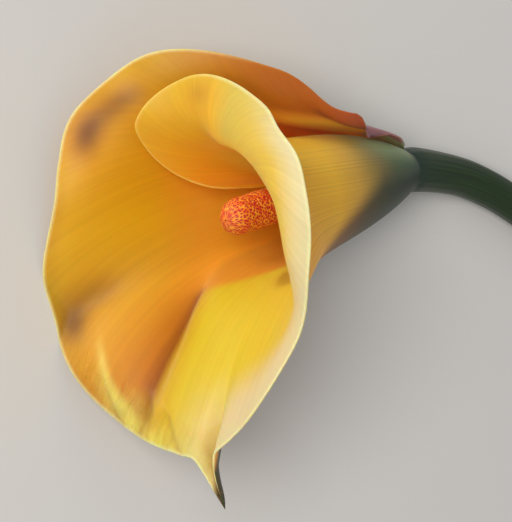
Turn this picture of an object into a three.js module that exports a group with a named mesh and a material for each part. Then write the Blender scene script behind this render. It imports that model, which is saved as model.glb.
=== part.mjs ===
import * as THREE from "three";

// Cut yellow calla flower lying on a surface. Units are mm, +Z is up.
//
// The flower is drawn in its own frame first: the joint of stem and bloom is the origin, z runs
// up the tube to the mouth, angle 0 is the midrib that ends in the tail, and angle +90 is the
// side that faces up when the flower lies down. Angles run past half a turn both ways, because
// the one sheet of the spathe wraps over itself: up to +258 inside and down to -228 outside.

// ---- driving dimensions --------------------------------------------------------------------
const SHEET = 1.0;            // thickness of the spathe's tube and limb
const EDGE_SHEET = 0.76;      // thickness along its free margin
const TUBE_STEPS = 9;         // rings of the mesh from the base to the throat
const LIMB_STEPS = 14;        // and from the throat to the rim
const RIB_SPACING = 6.4;      // degrees between two ribs of the mesh
const BASE_FLARE = 26;        // slope of the tube where it leaves the stem, degrees from its axis

// ribs of the tube: angle, base height, base radius, throat radius, throat height, throat slope
const THROAT = [
  [-228, 10.6, 12.6, 13.9, 13, 22], [-222, 8.0, 11.2, 14.3, 15.5, 14],
  [-214, 4.8, 9.3, 14.8, 19, 18], [-204, 1.8, 7.4, 15.9, 25, 20],
  [-192, 0, 6.3, 17.3, 34, 22], [-178, 0, 5.9, 19.0, 43, 22],
  [-160, 0, 5.7, 20.7, 49, 22], [-140, 0, 5.6, 22.0, 53, 21],
  [-110, 0, 5.6, 22.8, 55, 20], [-75, 0, 5.6, 23.3, 54, 22],
  [-40, 0, 5.6, 24.0, 56, 24], [-15, 0, 5.4, 23.8, 57, 27],
  [5, 0, 5.0, 23.4, 56, 30], [25, 0, 4.9, 22.8, 54, 33],
  [42, 0, 4.9, 22.4, 55, 33], [58, 0, 5.0, 21.4, 58, 26],
  [75, 0, 5.1, 19.5, 62, 15], [95, 0, 5.1, 17.5, 68, 11],
  [115, 0, 5.0, 16.2, 69.5, 10], [140, 0, 4.7, 15.2, 69.5, 10],
  [170, 1, 4.5, 14.7, 67, 11], [195, 3, 4.7, 15.0, 58, 15],
  [215, 5, 5.2, 15.2, 51, 19], [232, 7, 5.6, 14.2, 43, 19],
  [245, 9, 6.0, 12.6, 33, 18], [253, 10, 6.4, 10.9, 24, 17],
  [258, 11, 6.6, 9.0, 16, 16],
];
// rim of the limb: angle, radius, height, slope of the last stretch (over 90 rolls back)
const RIM = [
  [-228, 14.5, 14.4, 20], [-225.5, 14.2, 19.1, 8],
  [-223.5, 13.6, 22.4, 10], [-222, 15.8, 23.5, 50],
  [-220.5, 18.4, 24.7, 84], [-219, 20.2, 27.0, 95],
  [-216.5, 20.7, 29.8, 90], [-212, 22.0, 35.0, 80],
  [-208, 24.1, 38.4, 76], [-204, 27.3, 42.3, 75],
  [-199, 30.8, 47.5, 77], [-194, 33.3, 53.6, 80],
  [-180, 38.3, 63.5, 85], [-165, 42.5, 71.8, 85],
  [-150, 43.5, 78.1, 82], [-138, 41.6, 85.9, 74],
  [-120, 37.6, 92.1, 62], [-105, 36.5, 93.3, 52],
  [-90, 39.9, 94.4, 46], [-75, 45.8, 94.7, 46],
  [-60, 51.4, 94.3, 52], [-45, 54.2, 93.7, 60],
  [-30, 55.9, 92.8, 64], [-15, 58.4, 91.9, 62],
  [-2, 59.4, 91.4, 56], [5, 57.4, 91.4, 52],
  [12, 55.7, 92.3, 48], [20, 54.0, 93.2, 46],
  [34, 49.8, 89.6, 48], [45, 47.8, 87.4, 60],
  [55, 46.5, 86.4, 82], [65, 45.0, 86.0, 102],
  [75, 43.0, 84.8, 111], [87, 40.0, 81.8, 116],
  [100, 36.5, 78.0, 118], [115, 33.0, 75.0, 120],
  [130, 31.0, 72.5, 120], [150, 31.0, 71.0, 115],
  [170, 32.4, 71.8, 100], [195, 31.4, 75.8, 75],
  [204, 29.8, 78.3, 62], [212, 28.3, 79.2, 50],
  [222, 25.0, 76.2, 36], [232, 21.0, 71.6, 25],
  [242, 16.2, 65.0, 14], [247, 12.4, 60.0, 6],
  [250, 10.8, 54.0, 4], [253, 10.5, 45.0, 6],
  [255, 10.6, 36.0, 10], [258, 9.6, 22.0, 14],
];
// share of a rib's length that each end keeps straight: tube low, tube high, limb low, limb high
const STIFF = [0.42, 0.26, 0.34, 0.36];
const TAIL = { angle: -3, length: 13.3, half: 6, back: 1.9, bend: 2.2 };   // green tail at the midrib
const TAIL_RIBS = [1.5, 3, 4.5, 6.5, 9, 12];                    // extra ribs on each side of it
const CURL_RIBS = [-226.5, -225, -223.5, -222, -220.5, -219, -217, -214.5, -211, -206.5];  // at the curl
const LEAN = { reach: 42, power: 4 / 3 };                       // ribs draw in towards the tail
// furrow down the limb: its rim angle, its drift below that, its half widths, depth and sharpness
const VALLEY = { angle: -26, drift: 30, left: 8, right: 16, depth: 5, power: 1.2 };
const VALLEY_FADE = { start: 0.5, end: 0.8, kept: 0.4 };        // shares of a rib where it grows and fades
// soft dents of the far wall: rib angle, place along the rib, half widths of both, depth
const DENTS = [[-133, 0.85, 9, 0.20, 1.3], [-66, 0.80, 8, 0.24, 1.4]];
const RUFFLE = 0.5;                                             // waves of the rim

const SPADIX = { length: 70, radius: 4.55, stalk: 3.4, stalkEnd: 8, lean: 4.2, tip: 5 };
const FLORETS = { round: 14, pitch: 1.55, relief: 0.28, twist: 1.6 };

const SEAT_GAP = 0.3;         // spathe and spadix stand this far off the stem's top face
const STEM_SIDES = 22;
const STEM_STEP = 4.2;        // length of one stretch of the stem's mesh
// distance from the joint, radius
const STEM_RADII = [[0, 5.7], [3, 6.1], [7, 6.0], [12, 5.75], [34, 5.15], [90, 4.9], [160, 4.7]];
// route of the stem seen from above, then where it comes to lie on the surface
const STEM_ROUTE = [
  [11.8, 0.2], [22.7, -1.3], [31.4, -4.3], [38.9, -8], [49.7, -14.7], [60.3, -24.3],
  [69.2, -36.8], [76, -52.3], [80.3, -70.3], [83, -90.3], [84.6, -110],
];
const STEM_LANDS = 28;        // arc length at which the stem reaches the surface
const STEM_BOW = 0.5;         // its middle arches this far clear of the surface
const FLAT = 0.18;            // depth of the small flats it rests on

// how the flower lies: its axis seen from above, its tilt, and the height of the joint
const AXIS_TILT = 45, AXIS_TURN = 12, ROLL = 27, JOINT_HEIGHT = 10.6;

// ---- small helpers -------------------------------------------------------------------------
const rad = THREE.MathUtils.degToRad;
const clamp01 = (x) => Math.min(1, Math.max(0, x));
const smooth = (x) => clamp01(x) ** 2 * (3 - 2 * clamp01(x));
const v3 = (x, y, z) => new THREE.Vector3(x, y, z);

// smooth values between the rows of a table whose first column is the position
function along(table, x) {
  const n = table.length;
  let i = 0;
  while (i < n - 2 && table[i + 1][0] < x) i += 1;
  const gap = (k) => table[k + 1][0] - table[k][0];
  const rise = (k, c) => (table[k + 1][c] - table[k][c]) / gap(k);
  const slope = (k, c) => {
    if (k === 0) return rise(0, c);
    if (k === n - 1) return rise(n - 2, c);
    return (rise(k - 1, c) * gap(k) + rise(k, c) * gap(k - 1)) / (gap(k - 1) + gap(k));
  };
  const w = gap(i), t = (x - table[i][0]) / w, t2 = t * t, t3 = t2 * t;
  return table[i].slice(1).map((_, k) => {
    const c = k + 1;
    return (2 * t3 - 3 * t2 + 1) * table[i][c] + (t3 - 2 * t2 + t) * w * slope(i, c)
      + (3 * t2 - 2 * t3) * table[i + 1][c] + (t3 - t2) * w * slope(i + 1, c);
  });
}

// ---- the lying pose ------------------------------------------------------------------------
// axes of the flower frame as they lie on the surface
function lyingAxes() {
  const a = rad(AXIS_TILT), b = rad(AXIS_TURN), q = rad(ROLL);
  const turn = (x, y, z) =>
    v3(x * Math.cos(q) - z * Math.sin(q), y, z * Math.cos(q) + x * Math.sin(q));
  const mouth = turn(-Math.cos(a) * Math.cos(b), -Math.cos(a) * Math.sin(b), Math.sin(a));
  const midrib = turn(Math.sin(b), -Math.cos(b), 0);
  const upper = turn(Math.sin(a) * Math.cos(b), Math.sin(a) * Math.sin(b), Math.cos(a));
  return { mouth, midrib, upper };
}
const LIE = lyingAxes();
const lie = (x, y, z) => v3(0, 0, JOINT_HEIGHT)
  .addScaledVector(LIE.midrib, x).addScaledVector(LIE.upper, y).addScaledVector(LIE.mouth, z);

// ---- spathe --------------------------------------------------------------------------------
function ribAngles() {
  const first = THROAT[0][0], last = THROAT[THROAT.length - 1][0];
  const inner = TAIL_RIBS[TAIL_RIBS.length - 1];
  const list = [TAIL.angle];
  TAIL_RIBS.forEach((d) => list.push(TAIL.angle - d, TAIL.angle + d));
  const spread = (from, to) => {
    const n = Math.round(Math.abs(to - from) / RIB_SPACING);
    for (let k = 1; k <= n; k += 1) list.push(from + (to - from) * k / n);
  };
  const curled = CURL_RIBS[CURL_RIBS.length - 1];
  spread(TAIL.angle - inner, curled);
  list.push(first, ...CURL_RIBS.slice(0, -1));
  spread(TAIL.angle + inner, last);
  return list.sort((p, q) => p - q);
}

// where a rib meets the rim: ribs near the midrib run in towards the tail
function rimAngle(u) {
  const x = u - TAIL.angle, a = Math.abs(x);
  if (a >= LEAN.reach) return u;
  return TAIL.angle + Math.sign(x) * LEAN.reach * (a / LEAN.reach) ** LEAN.power;
}

const bezier = (p, t) => [0, 1].map((c) => (1 - t) ** 3 * p[0][c]
  + 3 * (1 - t) ** 2 * t * p[1][c] + 3 * (1 - t) * t * t * p[2][c] + t ** 3 * p[3][c]);
const step = (p, length, slope) =>
  [p[0] + length * Math.sin(rad(slope)), p[1] + length * Math.cos(rad(slope))];
const span = (p, q) => Math.hypot(q[0] - p[0], q[1] - p[1]);

// the points of one rib, base to rim, each as [angle, radius, height]
function rib(u) {
  const [h0, r0, rT, hT, slopeT] = along(THROAT, u);
  const end = rimAngle(u);
  const [rimR, rimH, slopeR] = along(RIM, end);
  const base = [r0, h0], throat = [rT, hT], rim = [rimR, rimH];
  const low = span(base, throat), high = span(throat, rim);
  const tube = [base, step(base, STIFF[0] * low, BASE_FLARE),
    step(throat, -STIFF[1] * low, slopeT), throat];
  const limb = [throat, step(throat, STIFF[2] * high, slopeT),
    step(rim, -STIFF[3] * high, slopeR), rim];
  const tail = clamp01(1 - Math.abs(end - TAIL.angle) / TAIL.half) ** 3;
  const points = [];
  for (let k = 0; k < TUBE_STEPS; k += 1) {
    points.push([u, ...bezier(tube, k / TUBE_STEPS), 0]);
  }
  for (let k = 0; k <= LIMB_STEPS; k += 1) {
    const s = k / LIMB_STEPS;
    const [r, h] = bezier(limb, s);
    // the tail sways back below its tip and forward at the tip
    const sway = TAIL.bend * (2 * smooth((s - 0.88) / 0.12) - smooth((s - 0.6) / 0.28));
    points.push([u + (end - u) * s * s + sway * tail,
      r + tail * TAIL.length * s ** 4,
      h - tail ** 1.5 * TAIL.back * smooth((s - 0.5) / 0.4), s]);
  }
  return points;
}

// middle of the sheet in the flower frame, as rows of points
function middleSheet(angles) {
  return angles.map((u) => rib(u).map(([angle, r, h, s]) => {
    const off = angle - VALLEY.angle + VALLEY.drift * (1 - s) ** 2;
    const far = (Math.hypot(off, 1) - 1) / (off < 0 ? VALLEY.left : VALLEY.right);
    const f = Math.exp(-(far ** VALLEY.power));
    let dip = VALLEY.depth * f * smooth(s / VALLEY_FADE.start)
      * (1 - (1 - VALLEY_FADE.kept) * smooth((s - VALLEY_FADE.end) / (1 - VALLEY_FADE.end)));
    DENTS.forEach(([at, place, wide, tall, depth]) => {
      dip += depth * Math.exp(-(((angle - at) / wide) ** 2) - ((s - place) / tall) ** 2);
    });
    const wave = RUFFLE * s * s * (Math.sin(rad(angle * 7.3)) + 0.6 * Math.sin(rad(angle * 13 + 40)));
    const edge = smooth((angle + 205) / 25) * smooth((225 - angle) / 30);
    const q = rad(angle), out = r + dip * 0.6, up = h - dip * 0.8 + wave * edge;
    return v3(out * Math.cos(q), out * Math.sin(q), up);
  }));
}

// unit normal of a grid of points at row i, place j
function gridNormal(grid, i, j) {
  const at = (a, b) => grid[Math.min(grid.length - 1, Math.max(0, a))][
    Math.min(grid[0].length - 1, Math.max(0, b))];
  const du = at(i + 1, j).clone().sub(at(i - 1, j));
  const dv = at(i, j + 1).clone().sub(at(i, j - 1));
  return du.cross(dv).normalize();
}

// a closed sheet: two offset copies of the grid, split alike, joined round the border
function solidSheet(grid, offset, thickness) {
  const rows = grid.length, cols = grid[0].length, points = [], faces = [];
  [0.5, -0.5].forEach((side) => grid.forEach((row, i) => row.forEach((p, j) =>
    points.push(p.clone().addScaledVector(offset(i, j), side * thickness(i, j))))));
  const front = (i, j) => i * cols + j, back = (i, j) => rows * cols + front(i, j);
  for (let i = 0; i < rows - 1; i += 1) {
    for (let j = 0; j < cols - 1; j += 1) {
      const [a, b, c, d] = [[i, j], [i + 1, j], [i + 1, j + 1], [i, j + 1]];
      const split = a_to_c_is_shorter(grid, i, j) ? [[a, b, c], [a, c, d]] : [[a, b, d], [b, c, d]];
      split.forEach((t) => {
        faces.push(t.map((p) => front(...p)));
        faces.push(t.map((p) => back(...p)).reverse());
      });
    }
  }
  const border = [];
  for (let i = 0; i < rows - 1; i += 1) border.push([i, 0]);
  for (let j = 0; j < cols - 1; j += 1) border.push([rows - 1, j]);
  for (let i = rows - 1; i > 0; i -= 1) border.push([i, cols - 1]);
  for (let j = cols - 1; j > 0; j -= 1) border.push([0, j]);
  border.forEach((p, k) => {
    const q = border[(k + 1) % border.length];
    faces.push([front(...q), front(...p), back(...p)], [front(...q), back(...p), back(...q)]);
  });
  return solid(points, faces);
}
const a_to_c_is_shorter = (g, i, j) =>
  g[i][j].distanceTo(g[i + 1][j + 1]) <= g[i + 1][j].distanceTo(g[i][j + 1]);

// geometry from points and triangles, turned outward if its volume comes out negative
function solid(points, faces) {
  let volume = 0;
  faces.forEach(([a, b, c]) => {
    volume += points[a].dot(points[b].clone().cross(points[c])) / 6;
  });
  const order = volume < 0 ? faces.map(([a, b, c]) => [a, c, b]) : faces;
  const geometry = new THREE.BufferGeometry();
  geometry.setAttribute("position",
    new THREE.Float32BufferAttribute(points.flatMap((p) => [p.x, p.y, p.z]), 3));
  geometry.setIndex(order.flat());
  geometry.computeVertexNormals();
  return geometry;
}

function spatheGeometry() {
  const own = middleSheet(ribAngles());
  const rows = own.length, cols = own[0].length;
  const thickness = (i, j) => {
    const rimward = smooth((cols - 1 - j) / 3), sideways = smooth(Math.min(i, rows - 1 - i) / 2);
    return EDGE_SHEET + (SHEET - EDGE_SHEET) * rimward * sideways;
  };
  // where the sheet touches the surface its middle stays half a thickness above it
  const grid = own.map((row, i) => row.map((p, j) => {
    const q = lie(p.x, p.y, p.z);
    q.z = Math.max(q.z, thickness(i, j) / 2);
    return q;
  }));
  // the base ring is offset straight out from the axis, so that its foot stays level
  const offset = (i, j) => {
    const n = gridNormal(grid, i, j);
    return j > 0 ? n : n.addScaledVector(LIE.mouth, -n.dot(LIE.mouth)).normalize();
  };
  return solidSheet(grid, offset, thickness);
}

// ---- spadix --------------------------------------------------------------------------------
function spadixRadius(h) {
  const { length, radius, stalk, stalkEnd, tip } = SPADIX;
  const body = radius + 0.25 * Math.sin(Math.PI * clamp01(h / length));
  const foot = stalk + (body - stalk) * smooth((h - stalkEnd) / 5);
  const over = clamp01((h - (length - tip)) / tip);
  return foot * Math.sqrt(Math.max(0, 1 - over * over));
}

// florets stand as small pyramids in a spiralling quincunx over a smooth column
function spadixGeometry() {
  const { length, stalkEnd, tip, lean } = SPADIX;
  const sides = FLORETS.round * 2, levels = [0, stalkEnd / 2];
  const low = stalkEnd, high = length - tip;
  const count = Math.round((high - low) / FLORETS.pitch);
  for (let k = 0; k <= count; k += 1) levels.push(low + (high - low) * k / count);
  [0.34, 0.62, 0.84, 0.96].forEach((s) => levels.push(high + tip * s));
  const points = [], faces = [];
  const centre = (h) => lean * (h / length) ** 1.6;
  const raised = (i, j) => (i + j) % 2 === 0;
  levels.forEach((h, i) => {
    const relief = i < 3 ? 0 : FLORETS.relief * Math.min(1, spadixRadius(h) / SPADIX.radius);
    for (let j = 0; j < sides; j += 1) {
      const q = rad(360 * j / sides + FLORETS.twist * i);
      const r = spadixRadius(h) + (raised(i, j) ? relief : -relief);
      points.push(lie(centre(h) + r * Math.cos(q), r * Math.sin(q), h));
    }
  });
  const at = (i, j) => i * sides + (j % sides);
  for (let i = 0; i < levels.length - 1; i += 1) {
    for (let j = 0; j < sides; j += 1) {
      const [a, b, c, d] = [at(i, j), at(i, j + 1), at(i + 1, j + 1), at(i + 1, j)];
      if (raised(i, j)) faces.push([a, b, d], [b, c, d]);
      else faces.push([a, b, c], [a, c, d]);
    }
  }
  const foot = points.push(lie(centre(0), 0, 0)) - 1;
  const top = points.push(lie(centre(length), 0, length)) - 1;
  for (let j = 0; j < sides; j += 1) {
    faces.push([foot, at(0, j + 1), at(0, j)], [top, at(levels.length - 1, j),
      at(levels.length - 1, j + 1)]);
  }
  return solid(points, faces);
}

// ---- stem ----------------------------------------------------------------------------------
const stemRadius = (s) => along(STEM_RADII, s)[0];

// centre line: straight out of the joint along the flower's axis, then down onto the surface
function stemLine() {
  const start = lie(0, 0, -SEAT_GAP), out = start.clone().addScaledVector(LIE.mouth, -2.5);
  const flat = [[start.x, start.y], [out.x, out.y], ...STEM_ROUTE];
  const s = [0];
  for (let k = 1; k < flat.length; k += 1) s.push(s[k - 1] + span(flat[k - 1], flat[k]));
  const points = flat.map(([x, y], k) => {
    const lying = stemRadius(s[k]) - FLAT
      + STEM_BOW * Math.sin(Math.PI * clamp01((s[k] - STEM_LANDS) / (s[s.length - 1] - STEM_LANDS)));
    // an arc from the axis' own slope to level
    const left = 1 - clamp01(s[k] / STEM_LANDS);
    return v3(x, y, lying + (start.z - stemRadius(0) + FLAT) * left ** 2);
  });
  points[0].copy(start);
  points[1].copy(out);
  return new THREE.CatmullRomCurve3(points, false, "centripetal");
}

function stemGeometry() {
  const line = stemLine(), length = line.getLength();
  const rings = Math.round(length / STEM_STEP), points = [], faces = [];
  const at = (i, j) => i * STEM_SIDES + (j % STEM_SIDES);
  for (let i = 0; i <= rings; i += 1) {
    const p = line.getPointAt(i / rings);
    const ahead = i === 0 ? LIE.mouth.clone().negate() : line.getTangentAt(i / rings);
    const side = v3(0, 0, 1).cross(ahead).normalize(), up = ahead.clone().cross(side);
    const r = stemRadius(length * i / rings);
    for (let j = 0; j < STEM_SIDES; j += 1) {
      const q = rad(360 * (j + 0.5) / STEM_SIDES);
      const v = p.clone().addScaledVector(side, r * Math.sin(q)).addScaledVector(up, -r * Math.cos(q));
      v.z = Math.max(v.z, 0);
      points.push(v);
    }
  }
  for (let i = 0; i < rings; i += 1) {
    for (let j = 0; j < STEM_SIDES; j += 1) {
      const [a, b, c, d] = [at(i, j), at(i, j + 1), at(i + 1, j + 1), at(i + 1, j)];
      faces.push([a, b, c], [a, c, d]);
    }
  }
  const head = points.push(line.getPointAt(0)) - 1, cut = points.push(line.getPointAt(1)) - 1;
  for (let j = 0; j < STEM_SIDES; j += 1) {
    faces.push([head, at(0, j + 1), at(0, j)], [cut, at(rings, j), at(rings, j + 1)]);
  }
  return solid(points, faces);
}

// ---- the flower ----------------------------------------------------------------------------
function piece(name, geometry, color, roughness) {
  const material = new THREE.MeshStandardMaterial({ color, roughness, metalness: 0 });
  const mesh = new THREE.Mesh(geometry, material);
  mesh.name = name;
  return mesh;
}

function flower() {
  const group = new THREE.Group();
  group.name = "calla_flower";
  group.add(piece("stem", stemGeometry(), 0x3d6a35, 0.45));
  group.add(piece("spathe", spatheGeometry(), 0xeaa51e, 0.5));
  group.add(piece("spadix", spadixGeometry(), 0xe8822a, 0.7));
  const box = new THREE.Box3().setFromObject(group);
  const mid = box.getCenter(v3(0, 0, 0));
  group.children.forEach((mesh) => mesh.geometry.translate(-mid.x, -mid.y, -box.min.z));
  return group;
}

export default flower();
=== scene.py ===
import math

import bpy
import numpy as np
from mathutils import Matrix, Vector


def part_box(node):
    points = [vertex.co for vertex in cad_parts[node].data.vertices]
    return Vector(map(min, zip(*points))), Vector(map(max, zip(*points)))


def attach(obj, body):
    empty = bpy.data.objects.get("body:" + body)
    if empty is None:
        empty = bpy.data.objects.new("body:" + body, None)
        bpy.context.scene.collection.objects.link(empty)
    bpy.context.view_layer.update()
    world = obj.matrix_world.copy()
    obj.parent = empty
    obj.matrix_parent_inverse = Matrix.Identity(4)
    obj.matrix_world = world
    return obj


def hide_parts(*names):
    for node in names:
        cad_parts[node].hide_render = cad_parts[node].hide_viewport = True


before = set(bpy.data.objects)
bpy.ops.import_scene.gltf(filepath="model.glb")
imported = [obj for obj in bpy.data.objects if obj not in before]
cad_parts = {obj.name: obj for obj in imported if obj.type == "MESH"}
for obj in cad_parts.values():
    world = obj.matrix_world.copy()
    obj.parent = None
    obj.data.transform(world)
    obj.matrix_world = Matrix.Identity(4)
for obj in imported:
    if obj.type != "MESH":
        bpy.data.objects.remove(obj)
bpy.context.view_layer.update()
MM = 0.001

# ---- the flower's dimensions: its main forms are the same as the solids' --------------------
# tube: angle, base height, base radius, throat radius, throat height, throat slope
THROAT = np.array([
    [-228, 10.6, 12.6, 13.9, 13, 22], [-222, 8.0, 11.2, 14.3, 15.5, 14],
    [-214, 4.8, 9.3, 14.8, 19, 18], [-204, 1.8, 7.4, 15.9, 25, 20],
    [-192, 0, 6.3, 17.3, 34, 22], [-178, 0, 5.9, 19.0, 43, 22],
    [-160, 0, 5.7, 20.7, 49, 22], [-140, 0, 5.6, 22.0, 53, 21],
    [-110, 0, 5.6, 22.8, 55, 20], [-75, 0, 5.6, 23.3, 54, 22],
    [-40, 0, 5.6, 24.0, 56, 24], [-15, 0, 5.4, 23.8, 57, 27],
    [5, 0, 5.0, 23.4, 56, 30], [25, 0, 4.9, 22.8, 54, 33],
    [42, 0, 4.9, 22.4, 55, 33], [58, 0, 5.0, 21.4, 58, 26],
    [75, 0, 5.1, 19.5, 62, 15], [95, 0, 5.1, 17.5, 68, 11],
    [115, 0, 5.0, 16.2, 69.5, 10], [140, 0, 4.7, 15.2, 69.5, 10],
    [170, 1, 4.5, 14.7, 67, 11], [195, 3, 4.7, 15.0, 58, 15],
    [215, 5, 5.2, 15.2, 51, 19], [232, 7, 5.6, 14.2, 43, 19],
    [245, 9, 6.0, 12.6, 33, 18], [253, 10, 6.4, 10.9, 24, 17],
    [258, 11, 6.6, 9.0, 16, 16]], float)
# rim: angle, radius, height, slope of the last stretch (over 90 rolls back)
RIM = np.array([
    [-228, 14.5, 14.4, 20], [-225.5, 14.2, 19.1, 8], [-223.5, 13.6, 22.4, 10],
    [-222, 15.8, 23.5, 50], [-220.5, 18.4, 24.7, 84], [-219, 20.2, 27.0, 95],
    [-216.5, 20.7, 29.8, 90], [-212, 22.0, 35.0, 80], [-208, 24.1, 38.4, 76],
    [-204, 27.3, 42.3, 75], [-199, 30.8, 47.5, 77], [-194, 33.3, 53.6, 80],
    [-180, 38.3, 63.5, 85], [-165, 42.5, 71.8, 85], [-150, 43.5, 78.1, 82],
    [-138, 41.6, 85.9, 74], [-120, 37.6, 92.1, 62], [-105, 36.5, 93.3, 52],
    [-90, 39.9, 94.4, 46], [-75, 45.8, 94.7, 46], [-60, 51.4, 94.3, 52],
    [-45, 54.2, 93.7, 60], [-30, 55.9, 92.8, 64], [-15, 58.4, 91.9, 62],
    [-2, 59.4, 91.4, 56], [5, 57.4, 91.4, 52], [12, 55.7, 92.3, 48],
    [20, 54.0, 93.2, 46], [34, 49.8, 89.6, 48], [45, 47.8, 87.4, 60],
    [55, 46.5, 86.4, 82], [65, 45.0, 86.0, 102], [75, 43.0, 84.8, 111],
    [87, 40.0, 81.8, 116], [100, 36.5, 78.0, 118], [115, 33.0, 75.0, 120],
    [130, 31.0, 72.5, 120], [150, 31.0, 71.0, 115], [170, 32.4, 71.8, 100],
    [195, 31.4, 75.8, 75], [204, 29.8, 78.3, 62], [212, 28.3, 79.2, 50],
    [222, 25.0, 76.2, 36], [232, 21.0, 71.6, 25], [242, 16.2, 65.0, 14],
    [247, 12.4, 60.0, 6], [250, 10.8, 54.0, 4], [253, 10.5, 45.0, 6],
    [255, 10.6, 36.0, 10], [258, 9.6, 22.0, 14]], float)
BASE_FLARE = 26                   # the tube opens at this angle from the axis
STIFF = (0.42, 0.26, 0.34, 0.36)  # handle lengths of the tube's curve, then of the limb's
# tail: rib angle, length, half width, how far it drops back, degrees that it sways
TAIL_ANGLE, TAIL_LENGTH, TAIL_HALF, TAIL_BACK, TAIL_BEND = -3, 13.3, 6, 1.9, 2.2
# powers that shape it: to its sides, along the rib, and of its drop
TAIL_TAPER, TAIL_REACH, TAIL_BACK_POWER = 3, 4, 1.5
# places along the rib where its drop and its two sways set in, and how long each takes
TAIL_BACK_FADE, TAIL_BEND_OUT, TAIL_BEND_IN = (0.5, 0.4), (0.88, 0.12), (0.6, 0.28)
LEAN_REACH, LEAN_POWER = 42, 4 / 3  # ribs this near the tail lean towards it
# furrow beside the midrib: angle at the rim, drift further in, depth
VALLEY_ANGLE, VALLEY_DRIFT, VALLEY_DEPTH = -26, 30, 5.0
# width of its two sides and the power that rounds it
VALLEY_LEFT, VALLEY_RIGHT, VALLEY_POWER = 8, 16, 1.2
# where it grows, where it eases again, and the share that it loses there
VALLEY_IN, VALLEY_OUT, VALLEY_EASE = (0, 0.5), (0.8, 0.2), 0.6
# soft dents of the far wall: rib angle, place along the rib, half widths of both, depth
DENTS = [(-133, 0.85, 9, 0.20, 1.3), (-66, 0.80, 8, 0.24, 1.4)]
# painted brown shade in the soft dents and folds of the far wall and where the scroll's lip
# turns away: rib angle, place, half widths of both, strength
SHADE_SPOTS = [(-133, 0.86, 9, 0.10, 0.9), (-147, 0.81, 8, 0.09, 0.55), (-68, 0.76, 6, 0.20, 0.48),
         (-62, 0.90, 6, 0.08, 0.72), (-92, 0.98, 24, 0.06, 0.22), (-48, 1.0, 8, 0.05, 0.25),
         (-32, 0.97, 3, 0.05, 0.3), (174, 0.78, 9, 0.16, 0.3)]
# wrinkles at the lower rim: rib angle at the rim, twist along the rib, start, half width, depth
WRINKLES = [(-25.0, 22.5, 0.76, 1.3, 1.0), (-22.4, 30, 0.80, 1.2, 0.6),
            (-11.5, 57, 0.78, 1.5, 0.7), (-31.0, 104, 0.87, 2.0, 0.7),
            (-16.5, 20, 0.90, 1.1, 0.35)]
WRINKLE_FADE = 0.08               # share of a rib over which they set in
DIP_OUT, DIP_BACK = 0.6, 0.8      # a dip pushes the sheet this share outwards and this share back
SHEATH = 0.9                      # the blade's foot wraps the stem's top this far
# ruffle of the limb: height, then waves in a full turn, phase and share of each wave
RUFFLE, RUFFLE_WAVES = 0.5, [(7.3, 0, 1.0), (13, 40, 0.6)]
# it sets in over 25 degrees from -205 on, and is gone over the 30 degrees up to 225
RUFFLE_FROM, RUFFLE_TO = (-205, 25), (-225, 30)
# thickness of the sheet and of its edge, finer than the solids', and how far in it is full
SHEET, EDGE_SHEET, SHEET_FULL = 1.0, 0.55, 9

# spadix: length, radius, how far its top leans towards the midrib, length of its rounded tip
SPADIX_LENGTH, SPADIX_RADIUS, SPADIX_LEAN, SPADIX_TIP = 70, 4.55, 4.2, 5
# how much it swells half way up, and the power of its lean
SPADIX_SWELL, SPADIX_LEAN_POWER = 0.25, 1.6
# smooth stalk below the florets: radius, length, and how long it takes to widen
STALK_RADIUS, STALK_END, STALK_WIDENS = 3.4, 8, 5
# florets, 0.8 mm apart, a little closer than real ones: number round the spadix, height of a
# row, and how many florets the spiral climbs aside for each mm
FLORETS_AROUND, FLORET_ROW, FLORET_SPIRAL = 34, 0.80, 0.05
# how far each is moved at random, how much it is squashed lengthwise, where they start
FLORET_SCATTER, FLORET_SQUASH, FLORETS_START = 0.6, 0.95, (STALK_END + 2, 4)
# a floret's bead: radius as a share of the spacing, height, how far its foot is sunk
BEAD_RADIUS, BEAD_HEIGHT, BEAD_SINK = 0.62, 0.20, 0.10
BEAD_LEAST, BEAD_MORE = 0.75, 0.5  # share of that height, at least and by lot
# multipliers that turn a floret's column and row into numbers that look random
LOT, SHADE = (12.99, 78.23), (13.7, 7.3)
LOT_ASIDE, LOT_AHEAD, LOT_SHADE = 43758.5, 24634.6, 43758.5453
TIP_LEAST = 0.02                   # keeps the spadix's tip from closing to nothing

SEAT_GAP, FLAT = 0.3, 0.18  # gap between the solids at the joint, depth of the small flats
# stem: distance from the joint and radius, then its route over the surface from the joint
STEM_RADII = np.array([[0, 5.7], [3, 6.1], [7, 6.0], [12, 5.75], [34, 5.15], [90, 4.9],
                       [160, 4.7]], float)
STEM_ROUTE = [(11.8, 0.2), (22.7, -1.3), (31.4, -4.3), (38.9, -8), (49.7, -14.7), (60.3, -24.3),
              (69.2, -36.8), (76, -52.3), (80.3, -70.3), (83, -90.3), (84.6, -110)]
STEM_OUT = 2.5              # it leaves the joint straight for this far
STEM_LANDS, STEM_BOW = 28, 0.5  # where it reaches the surface, and how far it arches after
STEM_SHORT = 0.1            # keeps the cut end inside the solids' box
# its shallow flutes: how many, depth, phase, twist for each mm
FLUTES = [(9, 0.05, 0.0, 0.004), (17, 0.03, 1.0, 0.0)]
# cut end: how much its edge is rounded, over what length, and where its pale face starts
CUT_ROUND, CUT_ROUND_REACH, CUT_FACE = 0.5, 0.35, 0.6
# the flower's axis in the picture, how the picture is rolled onto the surface, the joint's height
AXIS_TILT, AXIS_TURN, ROLL, JOINT_HEIGHT = 45, 12, 27, 10.6

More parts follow.
